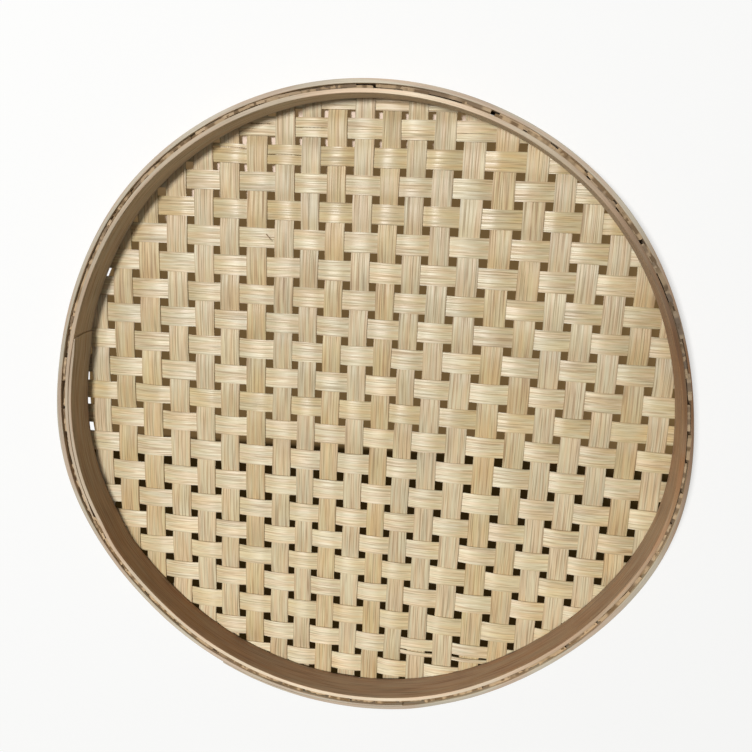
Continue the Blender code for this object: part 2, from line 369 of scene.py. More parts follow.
    def _noises(self, tree: bpy.types.NodeTree, strip: bpy.types.NodeSocket
                ) -> dict[str, bpy.types.NodeSocket]:
        """Add the noises that are drawn out along the strip.

        Args:
            tree: the material's nodes.
            strip: the place across and along the strip.

        Returns:
            Each noise by its name, with values from about 0.2 to 0.8.
        """
        sizes = {
            # width across, length along, and how much finer detail it has
            "fine": (self.fibre_width, self.fibre_length, 1.5),
            "fleck": (self.fibre_width * 1.2, self.fleck_length, 1.0),
            "streak": (self.fibre_width * 3.2, self.fleck_length * 2.0, 0.0),
            "patch": (self.fibre_width * 7.0, self.fleck_length * 1.6, 1.0),
            "cloud": (self.fibre_width * 16.0, self.fibre_length, 1.0),
        }
        made = {}
        for name, (width, length, detail) in sizes.items():
            scaled = add_node(tree, "ShaderNodeVectorMath",
                              {0: strip, 1: (1.0 / width, 1.0 / length, 1.0)},
                              operation="MULTIPLY")
            made[name] = add_node(tree, "ShaderNodeTexNoise",
                                  {"Vector": scaled.outputs[0], "Scale": 1.0, "Detail": detail,
                                   "Roughness": 0.55}, noise_dimensions="2D").outputs["Fac"]
        return made


# Splints cleft from the inner wood: matt straw colour with plain fibre lines
WARP_FINISH = BambooFinish(
    name="split_bamboo_warp", ground="CDBD9A", fibre="927A5C", pale="DAD0AE", cast="F6ECD4",
    blush="FFF5F1", fibre_amount=0.70, fleck_length=20 * MM, hue_swing=0.16, roughness=0.52,
    gloss=0.6, edge_start=0.86)
# Splints laid with their silkier side up: shorter flecks, and a sheen on each rise
WEFT_FINISH = BambooFinish(
    name="split_bamboo_weft", ground="CBBC93", fibre="947C5A", pale="E4D8B6", cast="F6EAD0",
    blush="FFF5F1", fibre_amount=0.60, fleck_length=14 * MM, hue_swing=0.24, roughness=0.50,
    gloss=1.0, relief=0.05 * MM)
# Splints from just below the scraped skin: smooth and golden, with a narrow glint
SKIN_FINISH = BambooFinish(
    name="scraped_bamboo_skin_side", ground="D0BF97", fibre="8E7A56", pale="E0D4AE",
    cast="F8ECD0", blush="FFF8F5", fibre_amount=0.55, fleck_length=12 * MM, hue_swing=0.20,
    roughness=0.38, gloss=0.5, anisotropy=0.9, pale_amount=0.5)
# Planed bands bent round and dried: browner wood with drawn-out grain, pale at the cut top
INNER_HOOP_FINISH = BambooFinish(
    name="bent_bamboo_inner_hoop", ground="BEAE91", fibre="806648", pale="C6B08C",
    cast="C4945A", blush="FFF6F2", fibre_amount=0.6, fleck_length=18 * MM, hue_swing=0.07,
    roughness=0.56, fibre_width=0.50 * MM, fibre_length=30 * MM, pale_amount=0.4,
    edge="D6C4AA", edge_amount=0.7, edge_start=0.3, tone_swing=1.0, relief=0.05 * MM)
OUTER_HOOP_FINISH = BambooFinish(
    name="bent_bamboo_outer_hoop", ground="C0AC88", fibre="705A3A", pale="CEC0A2",
    cast="B8926E", blush="FFF2EE", fibre_amount=0.7, fleck_length=16 * MM, hue_swing=0.10,
    roughness=0.56, edge="BDB4A2", edge_amount=0.82, edge_start=0.3, tone_swing=1.0)


def finish_piece(bm: bmesh.types.BMesh, node: str, material: bpy.types.Material,
                 tones: Iterable[tuple[float, float, float]]) -> None:
    """Turn a finished bmesh into a piece of the tray that stands for a CAD node.

    Args:
        bm: the mesh, with the float layers "across" and "along" on its vertices. It is freed.
        node: the CAD node that it stands for, after which it is named.
        material: its finish.
        tones: each vertex's lightness, warmth and place on the strip.
    """
    across = bm.verts.layers.float["across"]
    along = bm.verts.layers.float["along"]
    uv_layer = bm.loops.layers.uv.new(STRIP_UV)
    for face in bm.faces:
        face.smooth = True
        for loop in face.loops:
            loop[uv_layer].uv = (loop.vert[across], loop.vert[along])
    casts = list(tones)
    name = f"{node}_bamboo"
    mesh = bpy.data.meshes.new(name)
    bm.to_mesh(mesh)
    bm.free()
    mesh.materials.append(material)
    mesh.set_sharp_from_angle(angle=math.radians(50.0))
    cast = mesh.attributes.new(STRIP_TONE, "FLOAT_VECTOR", "POINT")
    for item, value in zip(cast.data, casts):
        item.vector = value
    piece = bpy.data.objects.new(name, mesh)
    bpy.context.scene.collection.objects.link(piece)
    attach(piece, ROOT)
    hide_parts(node)
    LOG.info("%s: %d faces, stands for %s", name, len(mesh.polygons), node)


@dataclass(frozen=True)
class Crossing:
    """Where one splint crosses another, along the first."""

    low: float
    high: float
    over: bool

    @property
    def middle(self) -> float:
        """The middle of the crossing."""
        return (self.low + self.high) / 2.0


@dataclass(frozen=True)
class Slit:
    """A place where a weft splint has split along its fibres. Millimetres along X."""

    weft: int
    share: float               # how far across the splint, from its low edge
    start: float
    end: float
    width: float

    def opening(self, along: float) -> float:
        """Return the slit's width, in metres, at a place along the splint."""
        share = (-along / MM - self.start) / (self.end - self.start)
        return self.width * MM * math.sqrt(smooth_step(1.0 - abs(2.0 * share - 1.0)))


SLITS = (
    Slit(2, 0.49, -44.0, -20.0, 0.5),
    Slit(2, 0.60, -80.0, -49.0, 0.9),
    Slit(2, 0.42, 38.0, 63.0, 0.25),
    Slit(3, 0.53, -58.0, -32.0, 0.55),
    Slit(3, 0.78, -98.0, -62.0, 0.9),
    Slit(7, 0.23, -86.0, -63.0, 0.25),
    Slit(14, 0.42, -159.0, -140.0, 0.35),
    Slit(21, 0.30, 18.0, 92.0, 1.9),
    Slit(22, 0.45, -32.0, -8.0, 0.25),
)


@dataclass(frozen=True)
class LooseFibre:
    """A dark fibre that has come loose from a weft splint."""

    weft: int = 6
    start: Vector = Vector((-54.9, 91.9, 1.0)) * MM    # from the hoops' centre, and in height
    end: Vector = Vector((-51.5, 88.2, 1.7)) * MM      # from the mat's middle level
    width: float = 0.45 * MM
    thickness: float = 0.3 * MM
    taper: float = 0.7         # share of the width lost at the end
    segments: int = 6

    def add_to(self, bm: bmesh.types.BMesh) -> None:
        """Add the fibre as a shell of its own to its splint's mesh.

        Args:
            bm: the splint's mesh, with its float layers.
        """
        base = bmesh.ops.create_grid(bm, x_segments=self.segments, y_segments=1, size=0.5)["verts"]
        faces = list({face for vertex in base for face in vertex.link_faces})
        shell = bmesh.ops.extrude_face_region(bm, geom=faces)["geom"]
        lifted = [item for item in shell if isinstance(item, bmesh.types.BMVert)]
        bmesh.ops.translate(bm, verts=lifted, vec=UP)
        across, along, place = (bm.verts.layers.float[name]
                                for name in ("across", "along", "place"))
        side = (self.end - self.start).cross(-UP).normalized()
        for vertex in base + lifted:
            share, wide, high = vertex.co.x + 0.5, vertex.co.y, vertex.co.z - 0.5
            vertex[across] = wide * self.width
            vertex[along] = share * (self.end - self.start).length
            vertex[place] = CUT_END
            vertex.co = (PLAN.centre + self.start.lerp(self.end, share)
                         + side * wide * self.width * (1.0 - self.taper * share)
                         + UP * (PLAN.mat_level + high * self.thickness))
        shell_faces = {face for vertex in base + lifted for face in vertex.link_faces}
        bmesh.ops.recalc_face_normals(bm, faces=list(shell_faces))


LOOSE_FIBRE = LooseFibre()

# Where the tails were trimmed lower than the rest: middle angle, half width, extra depth
TRIMMED_LOW = (
    (91.0, 15.0, 1.2 * MM),
    (190.0, 9.0, 0.7 * MM),
)
# Where their cut tops are darker than the rest: beside the brown part of the rim, and behind
TAILS_DARKENED = Lobes((20, 36, 5.2), (95, 55, 1.8))


@dataclass
class Splint:
    """One splint of the mat: woven, folded up at both ends and trimmed between the hoops."""

    node: str
    family: Family
    low: float                 # its edges across, from the hoops' centre
    high: float
    seed: int
    cleft: Cleft
    crown: float               # how far the middle of a crossing rises or sinks in the open mat
    flatness: float            # share of a pitch at each crossing that stays level
    crossings: list[Crossing] = field(default_factory=list)
    slits: tuple[Slit, ...] = ()
    loose_fibre: LooseFibre | None = None
    columns: int = 10
    column_shift: float = 0.25     # share of a column by which its line is out of place
    calm_reach: float = 0.007      # this near the fold the crossings are level,
    calm_span: float = 0.014       # and over this they become as high as in the open mat
    fold_bend: float = 0.0010      # radius of the fold at the mat's middle level
    open_inset: float = 0.003      # the open mat stops this much before the fold
    edge_half: float = 0.00022
    middle_half: float = 0.00035
    ridge_depth: float = 0.00004
    tail_swell: float = 0.0006     # the frayed ends stand open this much to each side
    tail_spread: float = 0.0012    # and this much wider
    tail_fray: float = 0.0006      # unevenness of their tops
    trim_depth: float = 0.0007     # how far the knife went below the rest in places
    trim_ease: float = 5.0         # degrees over which a low trim begins
    tail_travel: float = 0.4       # how much of the fold's length the grain follows
    tail_rows: int = 5
    fold_rows: int = 4
    end_rows: int = 6
    row_step: float = 0.0024
    fray_seed: int = 1000

    def __post_init__(self) -> None:
        """Draw this splint's own unevenness."""
        draw = random.Random(self.seed)
        self.light = draw.uniform(-0.5, 0.5)
        self.warmth = draw.uniform(*self.cleft.value)
        self.shade_wander = Wander(draw, 0.052, 0.7)
        self.cast_wander = Wander(draw, 0.045, 0.14)
        self.edge_wander = [Wander(draw, 0.055, 0.00016) for _ in range(2)]
        self.twist = Wander(draw, 0.045, 0.016)
        self.drift = Wander(draw, 0.070, 0.00006)
        self.crest_wander = Wander(draw, 0.031, 0.00008)
        self.ridges = [[draw.uniform(-1.0, 1.0) * self.ridge_depth
                        for _ in range(self.columns + 1)] for _ in range(2)]
        self.ridge_fade = Wander(draw, 0.060, 0.5)
        shifts = [draw.uniform(-self.column_shift, self.column_shift) / self.columns
                  for _ in range(self.columns - 1)]
        self.columns_shift = [0.0, *shifts, 0.0]
        self.trim = [draw.uniform(0.0, 1.0) ** 1.5 for _ in range(2 * (self.columns + 1))]
        self.trim_base = [draw.uniform(-0.0003, 0.0005) for _ in range(2)]
        self.pattern_offset = draw.uniform(0.0, 4.0)
        self.centre_across = (self.low + self.high) / 2.0
        self.half_width = (self.high - self.low) / 2.0

    def level(self, along: float) -> float:
        """Find how the splint rises and sinks from crossing to crossing.

        Args:
            along: the place along the splint.

        Returns:
            The height above the mat's middle there.
        """
        held = max(self.crossings[0].middle, min(self.crossings[-1].middle, along))
        before, after = next(pair for pair in zip(self.crossings, self.crossings[1:])
                             if held <= pair[1].middle)
        share = (held - before.middle) / (after.middle - before.middle)
        share = max(0.0, min(1.0, (share - self.flatness) / (1.0 - 2.0 * self.flatness)))
        eased = (1.0 - math.cos(math.pi * share)) / 2.0
        start, end = self._crest(before), self._crest(after)
        return start + (end - start) * eased

    def _crest(self, crossing: Crossing) -> float:
        """Find the level at the middle of a crossing, calmer near the hoops.

        Args:
            crossing: one of the splint's crossings.

        Returns:
            The height above the mat's middle there.
        """
        side = 1.0 if crossing.middle > 0.0 else -1.0
        limit = abs(PLAN.reach(self.family, self.centre_across, PLAN.fold_radius, side))
        room = smooth_step((limit - abs(crossing.middle) - self.calm_reach) / self.calm_span)
        uneven = self.crest_wander.at(crossing.middle) * room
        height = PLAN.layer_offset + (self.crown - PLAN.layer_offset) * room + uneven
        return height if crossing.over else -height

    def build(self) -> bmesh.types.BMesh:
        """Make the splint's mesh.

        Returns:
            A closed mesh, with the layers "across", "along" and "place" on its vertices.
        """
        stations = self._stations()
        bm = bmesh.new()
        bmesh.ops.create_grid(bm, x_segments=self.columns, y_segments=len(stations) - 1, size=1.0)
        across_layer, along_layer, place_layer, swell_layer = (
            bm.verts.layers.float.new(name) for name in ("across", "along", "place", "swell"))
        upper_side = bm.verts.layers.float_vector.new("upper_side")
        column_layer = bm.verts.layers.int.new("column")
        for vertex in bm.verts:
            column = round((vertex.co.x + 1.0) / 2.0 * self.columns)
            row = round((vertex.co.y + 1.0) / 2.0 * (len(stations) - 1))
            share = (vertex.co.x + 1.0) / 2.0 + self.columns_shift[column]
            zone, side, portion = stations[row]
            vertex.co, travel, vertex[upper_side] = self._place(share, zone, side, portion, column)
            vertex[across_layer] = (share - 0.5) * 2.0 * self.half_width + self.pattern_offset
            vertex[along_layer] = travel
            vertex[place_layer] = (share - 0.5) * 2.0
            vertex[swell_layer] = portion if zone is Zone.TAIL else 0.0
            vertex[column_layer] = column
        for slit in self.slits:
            self._split(bm, slit)
        bmesh.ops.recalc_face_normals(bm, faces=bm.faces[:])
        shell = bmesh.ops.extrude_face_region(bm, geom=bm.faces[:])
        upper = {item for item in shell["geom"] if isinstance(item, bmesh.types.BMVert)}
        draw = random.Random(self.seed + self.fray_seed)
        for vertex in bm.verts:
            place = vertex[place_layer]
            half = self.edge_half + (self.middle_half - self.edge_half) * (1.0 - place ** 4)
            ridge = self.ridges[int(vertex in upper)][vertex[column_layer]]
            half += ridge * (1.0 + self.ridge_fade.at(vertex[along_layer]))
            half += self.tail_swell * smooth_step(vertex[swell_layer] * 2.0 - 1.0)
            if vertex[swell_layer] == 1.0:
                vertex[place_layer] = CUT_END
                vertex.co.z -= draw.uniform(0.0, self.tail_fray)
            vertex.co += vertex[upper_side] * (half if vertex in upper else -half)
        bmesh.ops.recalc_face_normals(bm, faces=bm.faces[:])
        if self.loose_fibre:
            self.loose_fibre.add_to(bm)
        return bm

    def _split(self, bm: bmesh.types.BMesh, slit: Slit) -> None:
        """Open one slit along the fibres of the splint's middle surface.

        Args:
            bm: the middle surface, before it gets its thickness.
            slit: the slit, which follows the nearest line of corners.
        """
        column_layer = bm.verts.layers.int["column"]
        along_layer = bm.verts.layers.float["along"]
        column = round(slit.share * self.columns)
        line = [edge for edge in bm.edges
                if all(vertex[column_layer] == column and slit.opening(vertex[along_layer]) > 0.0
                       for vertex in edge.verts)]
        bmesh.ops.split_edges(bm, edges=line)
        for vertex in bm.verts:
            if vertex[column_layer] != column or not vertex.is_boundary:
                continue
            columns = {other[column_layer] for face in vertex.link_faces for other in face.verts}
            if column - 1 in columns and column + 1 in columns:
                continue
            way = 1.0 if column + 1 in columns else -1.0
            vertex.co += self.family.across * way / 2.0 * slit.opening(vertex[along_layer])

    def _stations(self) -> list[tuple[Zone, float, float]]:
        """List the rows of the splint, from one trimmed end to the other.

        Returns:
            Each row's zone, side, and portion of that zone.
        """
        end = [(zone, row / rows)
               for zone, rows in ((Zone.TAIL, self.tail_rows), (Zone.FOLD, self.fold_rows),
                                  (Zone.END, self.end_rows))
               for row in range(rows, 0, -1)]
        low, high = self._open_limit(-1.0), self._open_limit(1.0)
        steps = max(2, math.ceil((high - low) / self.row_step))
        return ([(zone, -1.0, portion) for zone, portion in end]
                + [(Zone.MIDDLE, 0.0, row / steps) for row in range(steps + 1)]
                + [(zone, 1.0, portion) for zone, portion in reversed(end)])

    def _open_limit(self, side: float) -> float:
        """Find how far the splint runs before any of its width nears the fold.

        Args:
            side: -1 or 1, the end of the splint.

        Returns:
            The signed distance along the splint.
        """
        reaches = [abs(PLAN.reach(self.family, edge, PLAN.fold_radius - self.open_inset, side))
                   for edge in (self.low, self.high)]
        return min(reaches) * side

    def _place(self, share: float, zone: Zone, side: float, portion: float,
               column: int) -> tuple[Vector, float, Vector]:
        """Work out one corner of the splint's middle surface.

        Args:
            share: the place across the splint, from 0 to 1.
            zone: the stretch that the corner is in.
            side: -1 or 1, the end of the splint, or 0 in the middle.
            portion: how far through that stretch, counted towards the trimmed end.
            column: the corner's column.

        Returns:
            The point, the distance along the strip, and the direction of its upper side.
        """
        if zone is Zone.MIDDLE:
            low, high = self._open_limit(-1.0), self._open_limit(1.0)
            return self._woven(share, low + (high - low) * portion, 1.0)
        across = self.low + (self.high - self.low) * share
        level = self._crest(self.crossings[0] if side < 0.0 else self.crossings[-1])
        bend = self.fold_bend - level
        fold = PLAN.fold_radius - level
        if zone is Zone.END:
            limit = self._open_limit(side)
            start = PLAN.reach(self.family, across, fold - bend, side)
            return self._woven(share, limit + (start - limit) * portion, 1.0 - portion)
        turn = math.pi / 2.0 * (portion if zone is Zone.FOLD else 1.0)
        along = PLAN.reach(self.family, across, fold - bend + bend * math.sin(turn), side)
        base = self._point(across, along, 0.0) - PLAN.centre
        outward = Vector((base.x, base.y, 0.0)).normalized()
        if zone is Zone.FOLD:
            height = level + bend * (1.0 - math.cos(turn))
            return (self._point(across, along, height),
                    along + side * bend * turn * self.tail_travel,
                    UP * math.cos(turn) - outward * math.sin(turn))
        top = self._tail_top(column, side, math.degrees(math.atan2(base.y, base.x)))
        bottom = PLAN.mat_level + level + bend
        spread = across + (share - 0.5) * 2.0 * self.tail_spread * portion
        point = self._point(spread, PLAN.reach(self.family, spread, fold, side), 0.0)
        point.z = bottom + (top - bottom) * portion
        return point, along + side * (point.z - bottom + bend), -outward

    def _woven(self, share: float, along: float, freedom: float
               ) -> tuple[Vector, float, Vector]:
        """Work out a corner of the mat's level part, with the strip's own twist and drift.

        Args:
            share: the place across the splint, from 0 to 1.
            along: the place along it.
            freedom: how much of its own unevenness the hoops leave it, from 1 to 0.

        Returns:
            The point, the distance along the strip, and the direction of its upper side.
        """
        low_edge, high_edge = (wander.at(along) for wander in self.edge_wander)
        across = (self.low + (self.high - self.low) * share
                  + (low_edge * (1.0 - share) + high_edge * share) * freedom)
        sway = self.twist.at(along) * (share - 0.5) * 2.0 * self.half_width
        height = self.level(along) + (sway + self.drift.at(along)) * freedom
        return self._point(across, along, height), along, UP

    def _tail_top(self, column: int, side: float, angle: float) -> float:
        """Find the height at which the knife left a part of a turned-up end.

        Args:
            column: the part's column.
            side: -1 or 1, the end of the splint.
            angle: its place round the tray, in degrees.

        Returns:
            The height above the floor.
        """
        end = 0 if side < 0.0 else 1
        cut = self.trim[column + end * (self.columns + 1)] * self.trim_depth + self.trim_base[end]
        for middle, half_width, depth in TRIMMED_LOW:
            away = abs(math.remainder(angle - middle, 360.0))
            cut += depth * smooth_step((half_width - away) / self.trim_ease)
        return PLAN.tail_top - cut

    def _point(self, across: float, along: float, height: float) -> Vector:
        """Return a point of the tray from its place across and along the splint."""
        return (PLAN.centre + self.family.across * across + self.family.along * along
                + UP * (PLAN.mat_level + height))

    def dress(self, material: bpy.types.Material) -> None:
        """Build the splint and give it its finish.

        Args:
            material: the finish.
        """
        bm = self.build()
        place, along = (bm.verts.layers.float[name] for name in ("place", "along"))
        tones = []
        for vertex in bm.verts:
            # its own random tone, plus the painted light that grows towards the near side
            light = self.light + self.shade_wander.at(vertex[along]) + PLAN.painted_light_at(vertex.co)
            if vertex[place] > 1.0:
                light -= TAILS_DARKENED.at(math.atan2(vertex.co.y, vertex.co.x))
            warmth = self.warmth + self.cast_wander.at(vertex[along]) + vertex.co.y
            tones.append((light, warmth, vertex[place]))
        finish_piece(bm, self.node, material, tones)


@dataclass(frozen=True)
class Spacing:
    """How one family of splints is laid by hand, from the middle one out to the hoop."""

    family: Family
    seed: int
    centre: float
    gap: float
    low_shares: tuple[float, ...]    # each step as a share of the even one, to the low side
    high_shares: tuple[float, ...]
    crown: float
    flatness: float
    marked: tuple[int, ...]          # the splints that stand out from the rest, from 1
    marked_cleft: Cleft
    width: float = 0.0104
    least_width: float = 0.0075
    edge_inset: float = 0.0008

    def edges(self) -> list[tuple[float, float]]:
        """Return the two edges of every splint, from the low side to the high side."""
        half = self.width * (self.low_shares[0] + self.high_shares[0]) / 4.0
        middle = [(self.centre - half, self.centre + half)]
        return self._side(self.low_shares, -1.0)[::-1] + middle + self._side(self.high_shares, 1.0)

    def _side(self, shares: tuple[float, ...], sign: float) -> list[tuple[float, float]]:
        """Lay the splints of one side until the hoop stops them.

        Args:
            shares: the steps as shares of the even step.
            sign: -1 or 1, the side.

        Returns:
            The edges of each splint, from the middle outwards.
        """
        way = self.family.across * sign
        tangent = PLAN.fold_radius + PLAN.bulge.at(math.atan2(way.y, way.x))
        laid: list[tuple[float, float]] = []
        place = self.centre
        before = shares[0]
        for index in range(2 * len(shares)):
            after = shares[index % len(shares)]
            half = self.width * (before + after) / 4.0
            near, far = abs(place) - half, min(abs(place) + half, tangent - self.edge_inset)
            if index:
                if far - near < self.least_width:
                    break
                laid.append((min(near * sign, far * sign), max(near * sign, far * sign)))
            place += sign * (self.width + self.gap) * after
            before = after
        return laid


SPACINGS = (
    Spacing(Family.WARP, 100, -0.0046, 0.0040,
            (0.96, 0.93, 0.94, 1.03, 1.03, 0.99, 1.05, 1.12, 1.08, 1.04),
            (0.94, 0.90, 0.95, 1.03, 1.07, 1.06, 0.99, 0.98, 1.00, 0.99, 0.96),
            crown=0.00035, flatness=0.20, marked=(2, 3, 7, 10, 12, 16, 17, 21),
            marked_cleft=Cleft.BROWN),
    Spacing(Family.WEFT, 300, 0.0006, 0.0044,
            (0.99, 1.07, 1.10, 1.03, 1.00, 0.97, 1.00, 1.06, 1.05, 1.01),
            (0.99, 1.03, 1.01, 0.98, 1.01, 1.01, 0.98, 0.95, 0.92, 0.93, 0.93),
            crown=0.00058, flatness=0.12, marked=(3, 5, 12, 18, 20),
            marked_cleft=Cleft.SKIN),
)


@dataclass
class Mat:
    """The woven floor of the tray: every warp and weft splint."""

    shown_reach: float = 0.1585    # crossings further out than this are hidden by the hoop
    splints: dict[Family, list[Splint]] = field(default_factory=dict)

    def lay(self) -> None:
        """Lay both families of splints out from their middle ones to the hoop."""
        for spacing in SPACINGS:
            nodes = sorted(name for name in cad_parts
                           if name.startswith(f"{spacing.family.value}_splint"))
            edges = spacing.edges()
            if spacing.family is Family.WEFT:
                edges.reverse()
            self.splints[spacing.family] = [
                Splint(node=node, family=spacing.family, low=low, high=high,
                       seed=spacing.seed + number,
                       cleft=spacing.marked_cleft if number in spacing.marked else Cleft.INNER,
                       crown=spacing.crown, flatness=spacing.flatness)
                for number, (node, (low, high)) in enumerate(zip(nodes, edges), 1)]
        wefts = self.splints[Family.WEFT]
        for slit in SLITS:
            wefts[slit.weft - 1].slits += (slit,)
        wefts[LOOSE_FIBRE.weft - 1].loose_fibre = LOOSE_FIBRE

    def weave(self) -> None:
        """Work out every crossing: every other one, and the warp on top at the hoop."""
        for warp_index, warp in enumerate(self.splints[Family.WARP]):
            for weft_index, weft in enumerate(self.splints[Family.WEFT]):
                nearest = self._nearest(warp, weft)
                if nearest >= PLAN.fold_radius:
                    continue
                warp_over = nearest >= self.shown_reach or (warp_index + weft_index) % 2 == 0
                warp.crossings.append(Crossing(weft.low, weft.high, warp_over))
                weft.crossings.append(Crossing(-warp.high, -warp.low, not warp_over))
        for splint in (*self.splints[Family.WARP], *self.splints[Family.WEFT]):
            splint.crossings.sort(key=lambda crossing: crossing.low)

    @staticmethod
    def _nearest(warp: Splint, weft: Splint) -> float:
        """Find how near a crossing comes to the hoops' centre.

        Args:
            warp: the warp splint.
            weft: the weft splint.

        Returns:
            The distance, less the hoops' bulge there.
        """
        x, y = (0.0 if splint.low < 0.0 < splint.high else min(splint.low, splint.high, key=abs)
                for splint in (warp, weft))
        return math.hypot(x, y) - PLAN.bulge.at(math.atan2(y, x))

    def dress(self) -> None:
        """Build and finish every splint."""
        finishes = {Family.WARP: WARP_FINISH.build(), Family.WEFT: WEFT_FINISH.build()}
        skin = SKIN_FINISH.build()
        for family, splints in self.splints.items():
            for splint in splints:
                splint.dress(skin if splint.cleft is Cleft.SKIN else finishes[family])


@dataclass
class Hoop:
    """A bamboo band, planed flat, bent round and closed by a lap of its thinned ends."""

    node: str
    radius: float              # inside face
    bottom: float
    start: float               # degrees, where the band starts; it runs clockwise
    lap: float                 # length of the lap
    side: LapSide
    finish: BambooFinish
    seed: int
    thickness: float = PLAN.hoop_thickness
    grip: float = 0.00008      # how far the band presses into the tails beyond its solid
    lap_tip: float = 0.0013
    lap_space: float = 0.0003
    lap_step: float = 0.024
    feather: float = 0.012     # the last stretch of an end, pared down further
    feather_tip: float = 0.0005
    slant: float = 0.0036      # how far a cut end leans along the band over its height
    slant_fades: float = 4.0   # and over how many times that it fades along the band
    start_lean: float = 0.4    # the starting end leans by this share of it
    edge_round: float = 0.00035
    top_begins: float = 0.4    # where the top's colour begins in the rounded edge, and
    top_fills: float = 3.0     # how many times it would fill in over the edge's height
    steps: int = 500
    rows: int = 6
    thicker: Lobes = Lobes()   # where the band is split thicker or thinner
    dropped: Lobes = Lobes()   # where its top lies lower
    wall_shades: Lobes = Lobes()     # where its sides are lighter (+) or darker (-)
    wall_browned: Lobes = Lobes()    # where its sides are browner
    # where its top is lighter (+) or darker (-); its lighter lobes paint the sheen on the top
    top_shades_and_sheen: Lobes = Lobes()
    top_browned: Lobes = Lobes()

    def __post_init__(self) -> None:
        """Draw this band's own unevenness."""
        self.turn_length = math.tau * self.radius
        self.length = self.turn_length + self.lap
        self.height = PLAN.rim_top - self.bottom
        self.top_wander = Wander(random.Random(self.seed), 0.11, 0.00012)

    def _thinned(self, share: float) -> float:
        """Return a lapped end's thickness, from its tip at share 0 to its root at share 1."""
        return self.lap_tip + (self.thickness - self.lap_tip) * share

    def _pare(self, distance: float) -> float:
        """Return the share of the thickness left near a feathered tip."""
        least = self.feather_tip / self.lap_tip
        return least + (1.0 - least) * smooth_step(distance / self.feather)

    def angle_at(self, travel: float) -> float:
        """Return the angle round the tray at a place along the band."""
        return math.radians(self.start) - travel / self.radius

    def faces_at(self, travel: float) -> tuple[float, float]:
        """Find the band's two faces at a place along it.

        Args:
            travel: the distance from the start of the band.

        Returns:
            The inner and the outer face, as distances from the nominal inside face.
        """
        inner, outer = self._lapped_faces(travel)
        outer += self.thicker.at(self.angle_at(travel))
        return (inner, outer + self.grip) if self.side is LapSide.INSIDE else (inner - self.grip,
                                                                              outer)

    def _lapped_faces(self, travel: float) -> tuple[float, float]:
        """Find the even band's two faces, with its lap, at a place along it.

        Args:
            travel: the distance from the start of the band.

        Returns:
            The inner and the outer face, as distances from the nominal inside face.
        """
        past = travel - self.turn_length
        inside = self.side is LapSide.INSIDE
        if travel < self.lap:
            thick = self._thinned(travel / self.lap) * self._pare(travel)
            return (self.thickness - thick, self.thickness) if inside else (0.0, thick)
        if past >= 0.0:
            share = min(past / self.lap, 1.0)
            thick = self._thinned(1.0 - share) * self._pare(self.lap - past)
            if inside:
                outer = self.thickness - self._thinned(share) - self.lap_space
                return outer - thick, outer
            inner = self._thinned(share) + self.lap_space
            return inner, inner + thick
        moved = (self.lap_tip + self.lap_space) * smooth_step(1.0 + past / self.lap_step)
        return (-moved, self.thickness - moved) if inside else (moved, self.thickness + moved)

    def build(self) -> bmesh.types.BMesh:
        """Make the band flat, round its edges, then bend it round the tray.

        Returns:
            A closed mesh, with the layers "across", "along" and "place" on its vertices.
        """
        bm = bmesh.new()
        bmesh.ops.create_grid(bm, x_segments=self.steps, y_segments=self.rows, size=0.5)
        bmesh.ops.scale(bm, verts=bm.verts[:], vec=(self.length, self.height, 1.0))
        bmesh.ops.translate(bm, verts=bm.verts[:],
                            vec=(self.length / 2.0, self.height / 2.0, 0.0))
        board = bmesh.ops.extrude_face_region(bm, geom=bm.faces[:])
        lifted = [item for item in board["geom"] if isinstance(item, bmesh.types.BMVert)]
        bmesh.ops.translate(bm, verts=lifted, vec=(0.0, 0.0, self.thickness))
        corners = [edge for edge in bm.edges if self._is_long_corner(edge)]
        bmesh.ops.bevel(bm, geom=corners, offset=self.edge_round, offset_type="OFFSET",
                        segments=3, profile=0.5, affect="EDGES", material=-1)
        across_layer, along_layer, place_layer = (
            bm.verts.layers.float.new(name) for name in ("across", "along", "place"))
        for vertex in bm.verts:
            travel, tall, depth = vertex.co
            folded = depth if tall < self.height / 2.0 else -depth
            vertex[across_layer] = tall + folded + self.seed
            vertex[along_layer] = travel
            rounded = (tall - self.height) / self.edge_round + self.top_begins
            vertex[place_layer] = smooth_step(rounded * self.top_fills)
            vertex.co = self._bent(travel, tall, depth)
        bmesh.ops.recalc_face_normals(bm, faces=bm.faces[:])
        return bm

    def _is_long_corner(self, edge: bmesh.types.BMEdge) -> bool:
        """Say whether an edge of the flat board is one of its four long corners.

        Args:
            edge: an edge of the board before its edges are rounded.

        Returns:
            True for a long corner.
        """
        a, b = (vertex.co for vertex in edge.verts)
        return (abs(a.y - b.y) < TOUCH and abs(a.z - b.z) < TOUCH
                and min(a.y, self.height - a.y) < TOUCH)

    def _bent(self, travel: float, tall: float, depth: float) -> Vector:
        """Find where a point of the flat board lies on the bent hoop.

        Args:
            travel: its distance from the start of the band.
            tall: its height on the board.
            depth: its depth in it, from the inside face.

        Returns:
            The point of the tray.
        """
        share = tall / self.height
        slid = travel
        for end, lean in ((0.0, self.start_lean), (self.length, 1.0)):
            near = smooth_step(1.0 - abs(travel - end) / (self.slant * self.slant_fades))
            slid += self.slant * (0.5 - share) * near * lean
        slid = min(max(slid, 0.0), self.length)
        inner, outer = self.faces_at(slid)
        radius = self.radius + inner + (outer - inner) * depth / self.thickness
        angle = self.angle_at(slid)
        top = min(0.0, self.top_wander.at(slid)) - self.dropped.at(angle)
        return PLAN.at(angle, radius, self.bottom + tall + top * share)

    def dress(self) -> None:
        """Build the hoop and give it its finish."""
        bm = self.build()
        place, along = (bm.verts.layers.float[name] for name in ("place", "along"))
        tones = []
        for vertex in bm.verts:
            angle, top = self.angle_at(vertex[along]), vertex[place]
            light, brown = (wall.at(angle) * (1.0 - top) + upper.at(angle) * top
                            for wall, upper in ((self.wall_shades, self.top_shades_and_sheen),
                                                (self.wall_browned, self.top_browned)))
            tones.append((light, brown, top))
        finish_piece(bm, self.node, self.finish.build(), tones)


